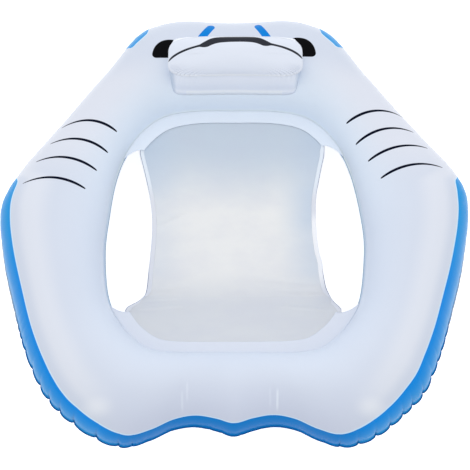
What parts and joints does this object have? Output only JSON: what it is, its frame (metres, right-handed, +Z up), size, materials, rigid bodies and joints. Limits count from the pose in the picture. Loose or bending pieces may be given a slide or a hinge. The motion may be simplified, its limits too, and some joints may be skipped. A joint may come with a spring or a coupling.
{
  "type": "inflatable pool lounger",
  "caption": "Blow-up ride-in pool lounger: a ray-shaped ring tube with a head pillow and a slung film seat.",
  "frame": {"origin": "on the ground, under the middle of the lounger's bounding box", "axes": "+X to the right as seen from the tail end, +Y towards the head end and its pillow, +Z up"},
  "size_m": [1.3086, 1.2462, 0.3521],
  "materials": {
    "white_vinyl": "satin",
    "blue_vinyl": "satin",
    "seat_vinyl": "satin",
    "edging_vinyl": "satin",
    "valve_vinyl": "gloss"
  },
  "bodies": {
    "lounger": {"ring_top_skin": "white_vinyl", "ring_bottom_skin": "blue_vinyl", "pillow_side_wall": "white_vinyl", "pillow_top_panel": "white_vinyl", "rear_rim_band": "edging_vinyl", "front_rim_band": "edging_vinyl", "seat_sling": "seat_vinyl", "sling_hem_left": "edging_vinyl", "sling_hem_right": "edging_vinyl", "ring_valve_flange": "valve_vinyl", "pillow_valve_flange": "valve_vinyl"},
    "ring_stem": {"ring_valve_stem": "valve_vinyl"},
    "ring_plug": {"ring_valve_plug": "valve_vinyl"},
    "ring_flap": {"ring_valve_flap": "valve_vinyl"},
    "pillow_stem": {"pillow_valve_stem": "valve_vinyl"},
    "pillow_plug": {"pillow_valve_plug": "valve_vinyl"},
    "pillow_flap": {"pillow_valve_flap": "valve_vinyl"}
  },
  "joints": [
    {"name": "ring_stem_slide", "type": "slide", "parent": "lounger", "child": "ring_stem", "axis": [-0.0288, 0.9081, -0.4178], "range_m": [0, 0.01]},
    {"name": "ring_plug_hinge", "type": "hinge", "parent": "ring_stem", "child": "ring_plug", "pos_m": [0.02755, 0.59719, 0.08622], "axis": [0.9988, 0.01, -0.047], "range_deg": [0, 150]},
    {"name": "ring_flap_hinge", "type": "hinge", "parent": "ring_stem", "child": "ring_flap", "pos_m": [0.02823, 0.57166, 0.09533], "axis": [-0.9988, -0.01, 0.047], "range_deg": [0, 60], "stiffness_Nm_per_rad": 0.0003},
    {"name": "pillow_stem_slide", "type": "slide", "parent": "lounger", "child": "pillow_stem", "axis": [0, 0.9533, 0.3019], "range_m": [0, 0.01]},
    {"name": "pillow_plug_hinge", "type": "hinge", "parent": "pillow_stem", "child": "pillow_plug", "pos_m": [0.0078, 0.48475, 0.31802], "axis": [0, 0.3019, -0.9533], "range_deg": [0, 150]},
    {"name": "pillow_flap_hinge", "type": "hinge", "parent": "pillow_stem", "child": "pillow_flap", "pos_m": [0.0054, 0.45901, 0.30987], "axis": [0, -0.3019, 0.9533], "range_deg": [0, 60], "stiffness_Nm_per_rad": 0.0003}
  ]
}
